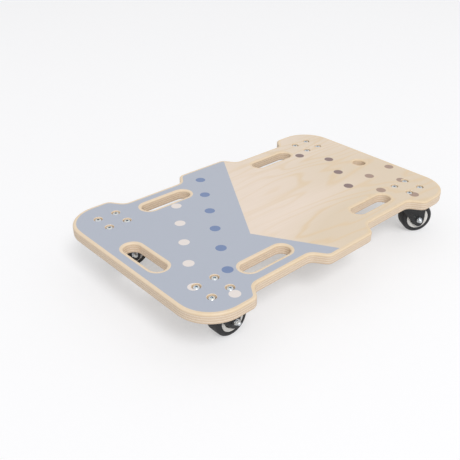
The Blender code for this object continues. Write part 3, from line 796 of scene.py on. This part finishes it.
def make_deck():
    deck, casters, paint, finish, _ = settings()
    board = deck_blank(deck)
    board.data.materials.append(birch_plywood(finish))
    board.data.materials.append(printed_veneer(paint, finish))
    for corner in CORNERS:
        x, y = opening_middle("hand_slot_" + corner)
        combine(board, "DIFFERENCE", slot_cutter(x, y, deck.side_slot_length, deck.side_slot_width))
    x, y = opening_middle("end_slot")
    combine(board, "DIFFERENCE", slot_cutter(x, y, deck.end_slot_width, deck.end_slot_length))
    x, y = opening_middle("rope_hole")
    combine(board, "DIFFERENCE", rod(BORE_STEPS, deck.rope_hole / 2, 2 * deck_high.z, (x, y, deck_high.z)))
    with editing(board):
        pick(board, "edges", is_rim)
        bpy.ops.mesh.bevel(offset=deck.edge_round, segments=8)
    give_second_material(board, is_top, deck.print_margin)
    combine(board, "DIFFERENCE", bolt_hole_cutters(deck, casters))
    polished(board)
    set_in_place(board, "plywood_board", "deck", "board")


# Fasteners


def finish_materials():
    """Bright zinc and the nylon of lock rings, which several operators share."""
    finish = bpy.context.scene.board_finish
    zinc = shared_material("bright_zinc_plate", zinc_plate, finish.zinc, finish.zinc_tint)
    lock_ring = shared_material("nylon_lock_ring", moulded_nylon, finish.lock_ring)
    return zinc, lock_ring


def thread_profile(radius, start, end):
    """Zigzag of a thread from one height to another, as a turned profile."""
    turns = max(1, int(abs(end - start) / THREAD_PITCH))
    step = (end - start) / turns
    crest = copysign(THREAD_PITCH / 10, step)
    depth = THREAD_PITCH * 0.55
    points = []
    for turn in range(turns):
        low = start + step * turn
        points.append((radius, low, 0))
        points.append((radius - depth, low + step / 2 - crest, 0))
        points.append((radius, low + step - crest, 0))
    return points


def hexagon(name, profile, across_flats, ring):
    """A turned profile with its six flats, as a nut or bolt head is made."""
    piece = turned(name, profile, BORE_STEPS, ring)
    heights = [height for _, height, _ in profile]
    low, high = min(heights), max(heights)
    prism = rod(HEXAGON, across_flats / sqrt(3), high - low + 2 * OVERRUN, (0, 0, (high + low) / 2))
    combine(piece, "INTERSECT", prism)
    return piece


def lock_nut(name, across_flats, tall, bore):
    """Lock nut that stands on z = 0: a chamfered hexagon, a round collar and the nylon ring in it."""
    flat = across_flats / 2
    corner = across_flats / sqrt(3) + GAP
    bevel = (corner - 0.95 * flat) * tan(NUT_CHAMFER)
    shoulder = 0.70 * tall
    collar = 0.90 * flat
    ring_wide = bore + 0.12 * flat
    ring_top = 0.94 * tall
    profile = [
        (bore, 0, 0),
        (0.95 * flat, 0, 0),
        (corner, bevel, 0),
        (corner, shoulder - bevel, 0),
        (0.96 * flat, shoulder, 0),
        (collar, shoulder, 0),
        (0.97 * collar, tall, 0.12 * tall),
        (ring_wide, tall, 0),
        (ring_wide, ring_top, 0),
        (bore, ring_top, 0),
    ]
    nut = polished(hexagon(name, profile, across_flats, ring=True), *finish_materials())

    def in_ring(face):
        middle = face.calc_center_median()
        return abs(middle.z - ring_top) < 10 * MERGE and middle.xy.length < ring_wide

    give_second_material(nut, in_ring)
    return nut


def deck_bolt(casters, finish):
    """Button-headed bolt with a domed head, a hexagon socket painted dark as shade, and a chamfered, threaded
    end.
    """
    low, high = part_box(f"deck_bolt_{SQUARE}_1")
    radius = casters.head_diameter / 2
    shank = casters.bolt_diameter / 2
    under_head = high.z - casters.head_height
    end_chamfer = 0.0005
    profile = [
        (0, high.z, 0),
        (radius - 0.0008, high.z, 0.003),
        (radius, under_head + 0.0008, 0.0003),
        (radius, under_head, 0.0002),
        (shank, under_head, 0),
        *thread_profile(shank, low.z + 0.003, low.z + end_chamfer),
        (shank - end_chamfer, low.z, 0),
        (0, low.z, 0),
    ]
    bolt = turned("deck_bolt_model", profile, BOLT_STEPS)
    depth = casters.socket_depth
    socket = rod(HEXAGON, casters.socket_width / sqrt(3), 2 * depth, (0, 0, high.z))
    with editing(socket):
        pick(socket, "faces", lambda face: face.normal.z < -0.5)
        bpy.ops.mesh.inset(thickness=casters.socket_width / 8)
        bpy.ops.transform.translate(value=(0, 0, -depth / 4))
    combine(bolt, "DIFFERENCE", socket)

    def is_socket_rim(edge):
        return all(abs(vert.co.z - high.z) < MERGE for vert in edge.verts) and is_sharp(edge)

    with editing(bolt):
        pick(bolt, "edges", is_socket_rim)
        bpy.ops.mesh.bevel(offset=0.0002, segments=2, clamp_overlap=True)
    zinc, _ = finish_materials()
    # The second material is a dark zinc, painted into the socket as shade
    polished(bolt, zinc, zinc_plate("dull_zinc_in_sockets", finish.socket_zinc, finish.socket_zinc))

    # Faces deep in the socket, which take the painted shade
    def in_socket(face):
        middle = face.calc_center_median()
        deep = high.z - 2 * depth < middle.z < high.z - depth / 4
        return deep and middle.xy.length < casters.socket_width / sqrt(3)

    give_second_material(bolt, in_socket)
    return bolt


def make_deck_bolts():
    _, casters, _, finish, _ = settings()
    bolt = deck_bolt(casters, finish)
    place_copies(
        bolt, BOLT_PLACES, bolt_matrix, "button_bolt_{}", "deck_bolt_{}", "board"
    )
    low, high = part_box(f"deck_nut_{SQUARE}_1")
    nut = lock_nut("deck_nut_model", casters.nut_flats, high.z - low.z, casters.bolt_diameter / 2)
    place_copies(
        nut, BOLT_PLACES, hung_nut_matrix, "lock_nut_{}", "deck_nut_{}", "board"
    )


# Casters


def caster_plate(casters):
    """Pressed plate with rounded corners, four bolt holes and the riveted king pin."""
    pivot = joint_place("swivel_" + SQUARE)
    low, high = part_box("caster_plate_" + SQUARE)
    under = high.z - casters.plate_thickness
    middle_z = (high.z + under) / 2
    wide = high.x - low.x
    size = (wide, wide, casters.plate_thickness)
    plate = block("caster_plate_model", size, (0, 0, middle_z), casters.plate_corner, segments=10)
    for number in (1, 2, 3, 4):
        place = bolt_matrix(f"{SQUARE}_{number}").translation - Vector((pivot.x, pivot.y, -high.z))
        combine(plate, "DIFFERENCE", rod(HOLE_STEPS, casters.bolt_diameter / 2 + GAP, high.z, place))
    soften(plate, casters.pressing_edge)
    pin = casters.king_pin / 2
    head = casters.king_pin_head / 2
    head_top = low.z + casters.king_pin_head_height
    profile = [
        (0, middle_z, 0),
        (pin, middle_z, 0),
        (pin, head_top, 0),
        (head, head_top, 0.0003),
        (head, head_top - 0.0008, 0.0005),
        (0.55 * head, low.z, 0.0015),
        (0.25 * head, low.z, 0),
        (0.2 * head, low.z + 0.0004, 0),
        (0, low.z + 0.0004, 0),
    ]
    return joined(plate, turned("king_pin", profile, BORE_STEPS))


def make_caster_plates():
    _, casters, _, _, _ = settings()
    zinc, _ = finish_materials()
    plate = polished(caster_plate(casters), zinc)
    place_copies(
        plate, CORNERS, mount_matrix, "pressed_plate_{}", "caster_plate_{}", "board"
    )


def swivel_race(casters):
    """Swivel bearing: an upper and a lower pressed ring with a row of balls between them."""
    pivot = joint_place("swivel_" + SQUARE)
    low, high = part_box("swivel_bearing_" + SQUARE)
    radius = high.x - pivot.x
    bore = casters.king_pin / 2 + GAP
    wall = casters.race_thickness
    middle = (low.z + high.z) / 2
    races = []
    for name, face, inward in (("upper_race", high.z, -1), ("lower_race", low.z, 1)):
        lip = middle - inward * 0.0006
        profile = [
            (bore, face, 0.0002),
            (radius, face, 0.0009),
            (radius, lip, 0.0002),
            (radius - wall, lip, 0.0002),
            (radius - wall, face + inward * wall, 0.0006),
            (bore, face + inward * wall, 0.0002),
        ]
        races.append(turned(name, profile, RACE_STEPS, ring=True))
    track = radius - wall - casters.ball_radius - GAP / 2
    ball = added(
        bpy.ops.mesh.primitive_ico_sphere_add,
        "ball",
        subdivisions=2,
        radius=casters.ball_radius,
        location=(track, 0, middle),
    )
    turn = 2 * pi / casters.balls
    balls = moved_copies(ball, [Matrix.Rotation(turn * i, 4, "Z") for i in range(casters.balls)])
    return joined(*races, *balls)


def make_swivel_bearings():
    _, casters, _, _, _ = settings()
    zinc, _ = finish_materials()
    race = polished(swivel_race(casters), zinc)
    place_copies(
        race, CORNERS, mount_matrix, "ball_race_{}", "swivel_bearing_{}", "board"
    )


def tangent_from(point, middle, radius, side):
    """Direction of the line from a point that touches a circle in the XZ plane, on one side of it."""
    reach = middle - point
    turn = side * asin(radius / reach.length)
    return Vector((reach.x * cos(turn) - reach.z * sin(turn), 0, reach.x * sin(turn) + reach.z * cos(turn)))


def pressed_fork(casters):
    """Pressed steel fork: a crown with its raised bearing seat, and two legs down to the axle."""
    pivot = joint_place("swivel_" + SQUARE)
    axle = joint_place("spin_" + SQUARE)
    low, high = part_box("fork_" + SQUARE)
    _, bearing_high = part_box("swivel_bearing_" + SQUARE)
    seat_radius = bearing_high.x - pivot.x
    outside = (high.y - low.y) / 2
    inside = outside - casters.fork_steel
    crown_top = high.z - casters.seat_height
    crown_bottom = crown_top - casters.fork_steel
    trail = axle.x - pivot.x

    # The side view, which the tangents from the front and the shoulder close round the axle
    eye = Vector((trail, 0, axle.z))
    front = Vector((-seat_radius, 0, crown_top - casters.leg_front_depth))
    shoulder = Vector((trail + casters.leg_back, 0, crown_top - casters.leg_shoulder_drop))
    down_front = tangent_from(front, eye, casters.leg_eye, -1)
    down_back = tangent_from(shoulder, eye, casters.leg_eye, 1)
    toe, _ = intersect_line_line(front, front + down_front, shoulder, shoulder + down_back)
    corners = [
        (Vector((-seat_radius, 0, crown_top)), 0),
        (front, casters.leg_front_radius),
        (toe, casters.leg_eye),
        (shoulder, casters.leg_shoulder_radius),
        (Vector((seat_radius, 0, crown_top)), 0),
    ]
    near_side = Vector((0, -outside, 0))
    outline = [(corner + near_side, radius) for corner, radius in corners]
    fork = filled(traced("fork_model", outline), (0, 2 * outside, 0))

    def is_bend(edge):
        first, second = (vert.co for vert in edge.verts)
        on_top = abs(first.z - crown_top) < MERGE and abs(second.z - crown_top) < MERGE
        return on_top and abs(first.y - second.y) < MERGE

    with editing(fork):
        pick(fork, "edges", is_bend)
        bpy.ops.mesh.bevel(offset=casters.fork_bend, segments=6)

    seat_profile = [
        (0, high.z, 0),
        (seat_radius, high.z, 0.0008),
        (seat_radius, crown_top - casters.fork_steel / 2, 0),
        (0, crown_top - casters.fork_steel / 2, 0),
    ]
    combine(fork, "UNION", turned("seat", seat_profile, RACE_STEPS))
    reach = trail + axle.z + OVERRUN
    above = high.z + OVERRUN
    room = [
        ((-reach, -inside, -OVERRUN), 0),
        ((reach, -inside, -OVERRUN), 0),
        ((reach, -inside, above), 0),
        ((seat_radius, -inside, above), 0),
        ((seat_radius, -inside, crown_bottom), 0),
        ((-reach, -inside, crown_bottom), 0),
    ]
    combine(fork, "DIFFERENCE", filled(traced("wheel_room", room), (0, 2 * inside, 0)))
    combine(fork, "DIFFERENCE", rod(BORE_STEPS, casters.king_pin / 2 + GAP, high.z, (0, 0, high.z)))
    bore = casters.axle_diameter / 2 + GAP
    axle_bore = rod(BORE_STEPS, bore, 2 * outside + 2 * OVERRUN, eye, rotation=(pi / 2, 0, 0))
    combine(fork, "DIFFERENCE", axle_bore)
    soften(fork, casters.pressing_edge)
    return fork


def make_forks():
    _, casters, _, finish, _ = settings()
    fork = polished(pressed_fork(casters), powder_coat(finish))
    place_copies(
        fork, CORNERS, fork_matrix, "pressed_fork_{}", "fork_{}", "caster_{}"
    )


def axle_bolt(casters):
    """Axle bolt along Z: a hexagon head below, a threaded end above. Returns it and where its nut goes."""
    low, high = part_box("fork_" + SQUARE)
    outside = (high.y - low.y) / 2
    bolt_low, bolt_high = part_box("axle_bolt_" + SQUARE)
    shank = casters.axle_diameter / 2
    seat = outside + GAP
    end = (bolt_high.y - bolt_low.y) - seat - casters.axle_head
    flat = casters.axle_flats / 2
    corner = casters.axle_flats / sqrt(3) + GAP
    bevel = (corner - 0.92 * flat) * tan(NUT_CHAMFER)
    head_low = -seat - casters.axle_head
    head_profile = [
        (0, head_low + 0.0003, 0),
        (0.55 * flat, head_low + 0.0003, 0),
        (0.62 * flat, head_low, 0),
        (0.92 * flat, head_low, 0),
        (corner, head_low + bevel, 0),
        (corner, -seat - 0.0004, 0),
        (0.95 * flat, -seat - 0.0004, 0),
        (0.95 * flat, -seat, 0),
        (0, -seat, 0),
    ]
    head = hexagon("axle_bolt_model", head_profile, casters.axle_flats, ring=False)
    chamfer = 0.0007
    shank_profile = [
        (0, -seat - casters.axle_head / 2, 0),
        (shank, -seat - casters.axle_head / 2, 0),
        *thread_profile(shank, seat, end - chamfer),
        (shank - chamfer, end, 0),
        (0, end, 0),
    ]
    return joined(head, turned("shank", shank_profile, BORE_STEPS)), seat, end


def make_axle_bolts():
    _, casters, _, _, _ = settings()
    bolt, seat, end = axle_bolt(casters)
    polished(bolt, *finish_materials())
    tall = end - casters.axle_end - seat
    nut = lock_nut("axle_nut", casters.axle_flats, tall, casters.axle_diameter / 2)
    joined(bolt, *moved_copies(nut, [Matrix.Translation((0, 0, seat))]))
    place_copies(
        bolt, CORNERS, axle_matrix, "axle_with_lock_nut_{}", "axle_bolt_{}", "caster_{}"
    )


def mirrored(profile):
    """The other half of a profile that is the same below as above."""
    return [(radius, -height, corner) for radius, height, corner in reversed(profile)]


def wheel_hub(casters):
    """Moulded hub along Z: a rim, a thinner web with filleted roots, and a boss on the axle."""
    low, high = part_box("wheel_hub_" + SQUARE)
    tyre_low, tyre_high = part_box("tyre_" + SQUARE)
    rim = (tyre_high.z - tyre_low.z) / 2 - casters.tyre_thickness
    rim_half = (tyre_high.y - tyre_low.y) / 2 - GAP
    boss_half = (high.y - low.y) / 2
    rim_inside = rim - casters.rim_thickness
    web = casters.web_thickness / 2
    boss = casters.boss / 2
    bore = casters.axle_diameter / 2 + GAP
    outline = [
        (rim, rim_half, 0.0003),
        (rim_inside, rim_half, 0.0009),
        (rim_inside + 0.0004, web, 0.0015),
        (boss + 0.0003, web, 0.0012),
        (boss, boss_half, 0.0005),
        (bore, boss_half, 0.0003),
    ]
    return turned("wheel_hub_model", outline + mirrored(outline), HUB_STEPS, ring=True)


def make_wheel_hubs():
    _, casters, _, finish, _ = settings()
    hub = polished(wheel_hub(casters), moulded_nylon("white_moulded_nylon", finish.nylon))
    place_copies(hub, CORNERS, axle_matrix, "moulded_hub_{}", "wheel_hub_{}", "wheel_{}")


def rubber_tyre(casters):
    """Rubber tyre along Z: a slightly crowned tread, round shoulders and a shallow ring in each side wall."""
    low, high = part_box("tyre_" + SQUARE)
    radius = (high.z - low.z) / 2
    half = (high.y - low.y) / 2
    inside = radius - casters.tyre_thickness + GAP
    ring = inside + 0.0014
    crown = 0.0002
    side = [
        (inside, half, 0.0002),
        (ring, half, 0.0002),
        (ring + 0.0003, half - 0.0004, 0.0001),
        (ring + 0.0011, half - 0.0004, 0.0001),
        (ring + 0.0014, half, 0.0002),
        (radius - crown, half, casters.tyre_shoulder),
    ]
    return turned("tyre_model", [*side, (radius, 0, 0), *mirrored(side)], TYRE_STEPS, ring=True)


def make_tyres():
    _, casters, _, finish, _ = settings()
    tyre = polished(rubber_tyre(casters), tyre_rubber(finish))
    place_copies(tyre, CORNERS, axle_matrix, "rubber_tyre_{}", "tyre_{}", "wheel_{}")


# Stage


def seen_by_camera(tree):
    """1 for what the camera sees, also mirrored or through glass, and 0 for the light on things."""
    path = add_node(tree, "LightPath").node.outputs
    indirect = {0: path["Is Glossy Ray"], 1: path["Is Transmission Ray"]}
    bounced = add_node(tree, "Math", indirect, operation="MAXIMUM")
    return add_node(tree, "Math", {0: path["Is Camera Ray"], 1: bounced}, operation="MAXIMUM")


def floor_material(stage):
    """Matt studio board: pale grey with faint clouds 0.8 m across, lit up to white for the camera."""
    material, tree, shader, place = new_material("studio_floor")
    cloud = add_node(tree, "TexNoise", {"Vector": place, "Scale": 1 / 0.8, "Detail": 2.0})
    shade = add_node(tree, "MapRange", {0: cloud, 3: 0.985, 4: 1.0})
    tint = add_node(tree, "VectorMath", {0: stage.floor[:3], "Scale": shade}, operation="SCALE")
    set_inputs(tree, shader, {"Base Color": tint, "Roughness": 0.9, "Specular IOR Level": 0.2})

    # The camera meets a floor that also has some light of its own
    seen = seen_by_camera(tree)
    strength = add_node(tree, "Math", {0: seen, 1: stage.floor_glow}, operation="MULTIPLY")
    glow = add_node(tree, "Emission", {"Strength": strength})
    both = add_node(tree, "AddShader", {0: shader.outputs[0], 1: glow})

    # From below the floor is clear, so that it doesn't hide the underside
    below = add_node(tree, "NewGeometry", output="Backfacing")
    clear = add_node(tree, "BsdfTransparent")
    one_sided = add_node(tree, "MixShader", {0: below, 1: both, 2: clear})
    set_inputs(tree, tree.nodes["Material Output"], {"Surface": one_sided})
    return material


def make_world(stage):
    """Even daylight from all round. The camera sees it as white."""
    world = bpy.data.worlds.new("studio_daylight")
    bpy.context.scene.world = world
    world.use_nodes = True
    tree = world.node_tree
    strength = add_node(tree, "MapRange", {0: seen_by_camera(tree), 3: stage.daylight, 4: 1.0})
    set_inputs(tree, tree.nodes["Background"], {"Color": (1.0, 1.0, 1.0, 1.0), "Strength": strength})


def make_lamp(stage):
    """The large lamp in front on the right, aimed at the wheels."""
    bpy.ops.object.light_add(type="AREA", location=LAMP_PLACE)
    lamp = bpy.context.object
    lamp.name = "key_lamp"
    lamp.data.size = stage.key_size
    lamp.data.energy = stage.key_power
    lamp.rotation_euler = (LAMP_AIM - LAMP_PLACE).to_track_quat("-Z", "Y").to_euler()


def make_camera(stage):
    """The photo's viewing angle: the camera looks down on the slot end from the deck's right side."""
    azimuth, elevation = stage.camera_azimuth, stage.camera_elevation
    back = Vector((sin(azimuth) * cos(elevation), -cos(azimuth) * cos(elevation), sin(elevation)))
    bpy.ops.object.camera_add(location=CAMERA_AIM + stage.camera_distance * back)
    camera = bpy.context.object
    camera.name = "camera"
    turn = Matrix.Rotation(azimuth, 3, "Z") @ Matrix.Rotation(pi / 2 - elevation, 3, "X")
    camera.rotation_euler = (turn @ Matrix.Rotation(stage.camera_roll, 3, "Z")).to_euler()
    camera.data.lens = stage.camera_lens
    camera.data.shift_x = stage.camera_shift
    camera.data.clip_start = 0.05
    camera.data.clip_end = 50
    bpy.context.scene.camera = camera


def make_stage():
    stage = bpy.context.scene.board_stage
    bpy.context.scene.view_settings.view_transform = "Standard"
    floor = added(bpy.ops.mesh.primitive_plane_add, "studio_floor", size=14)
    floor.data.materials.append(floor_material(stage))
    make_world(stage)
    make_lamp(stage)
    make_camera(stage)


# Operators, panel and registration


class BOARD_OT_deck(bpy.types.Operator):
    """Model the plywood deck with its slots, its rope hole and its counterbores"""

    bl_idname = "board.deck"
    bl_label = "Plywood deck"

    def execute(self, context):
        make_deck()
        return {"FINISHED"}


class BOARD_OT_deck_bolts(bpy.types.Operator):
    """Model the sixteen button-headed deck bolts and their lock nuts"""

    bl_idname = "board.deck_bolts"
    bl_label = "Deck bolts and nuts"

    def execute(self, context):
        make_deck_bolts()
        return {"FINISHED"}


class BOARD_OT_caster_plates(bpy.types.Operator):
    """Model the four caster plates with their riveted king pins"""

    bl_idname = "board.caster_plates"
    bl_label = "Caster plates"

    def execute(self, context):
        make_caster_plates()
        return {"FINISHED"}


class BOARD_OT_swivel_bearings(bpy.types.Operator):
    """Model the four swivel bearings with their races and balls"""

    bl_idname = "board.swivel_bearings"
    bl_label = "Swivel bearings"

    def execute(self, context):
        make_swivel_bearings()
        return {"FINISHED"}


class BOARD_OT_forks(bpy.types.Operator):
    """Model the four pressed steel forks"""

    bl_idname = "board.forks"
    bl_label = "Forks"

    def execute(self, context):
        make_forks()
        return {"FINISHED"}


class BOARD_OT_axle_bolts(bpy.types.Operator):
    """Model the four axle bolts with their lock nuts"""

    bl_idname = "board.axle_bolts"
    bl_label = "Axle bolts"

    def execute(self, context):
        make_axle_bolts()
        return {"FINISHED"}


class BOARD_OT_wheel_hubs(bpy.types.Operator):
    """Model the four moulded wheel hubs"""

    bl_idname = "board.wheel_hubs"
    bl_label = "Wheel hubs"

    def execute(self, context):
        make_wheel_hubs()
        return {"FINISHED"}


class BOARD_OT_tyres(bpy.types.Operator):
    """Model the four rubber tyres"""

    bl_idname = "board.tyres"
    bl_label = "Tyres"

    def execute(self, context):
        make_tyres()
        return {"FINISHED"}


class BOARD_OT_stage(bpy.types.Operator):
    """Set up the floor, the light and the camera"""

    bl_idname = "board.stage"
    bl_label = "Floor, light and camera"

    def execute(self, context):
        make_stage()
        return {"FINISHED"}


OPERATORS = (
    BOARD_OT_deck,
    BOARD_OT_deck_bolts,
    BOARD_OT_caster_plates,
    BOARD_OT_swivel_bearings,
    BOARD_OT_forks,
    BOARD_OT_axle_bolts,
    BOARD_OT_wheel_hubs,
    BOARD_OT_tyres,
    BOARD_OT_stage,
)

SETTINGS = {
    "board_deck": DeckSettings,
    "board_casters": CasterSettings,
    "board_paint": PaintSettings,
    "board_finish": FinishSettings,
    "board_stage": StageSettings,
}


class BOARD_PT_panel(bpy.types.Panel):
    """Buttons that make each piece, over the settings they use"""

    bl_idname = "BOARD_PT_panel"
    bl_label = "Scooter board"
    bl_space_type = "VIEW_3D"
    bl_region_type = "UI"
    bl_category = "Scooter board"

    def draw(self, context):
        buttons = self.layout.column(align=True)
        for operator in OPERATORS:
            buttons.operator(operator.bl_idname)
        for name in SETTINGS:
            group = getattr(context.scene, name)
            box = self.layout.box()
            for key in group.__annotations__:
                box.prop(group, key)


def register():
    for group in SETTINGS.values():
        bpy.utils.register_class(group)
    for name, group in SETTINGS.items():
        setattr(bpy.types.Scene, name, PointerProperty(type=group))
    for operator in OPERATORS:
        bpy.utils.register_class(operator)
    bpy.utils.register_class(BOARD_PT_panel)


def unregister():
    bpy.utils.unregister_class(BOARD_PT_panel)
    for operator in reversed(OPERATORS):
        bpy.utils.unregister_class(operator)
    for name in SETTINGS:
        delattr(bpy.types.Scene, name)
    for group in SETTINGS.values():
        bpy.utils.unregister_class(group)


def main():
    register()
    bpy.ops.board.deck()
    bpy.ops.board.deck_bolts()
    bpy.ops.board.caster_plates()
    bpy.ops.board.swivel_bearings()
    bpy.ops.board.forks()
    bpy.ops.board.axle_bolts()
    bpy.ops.board.wheel_hubs()
    bpy.ops.board.tyres()
    bpy.ops.board.stage()


if __name__ == "__main__":
    main()
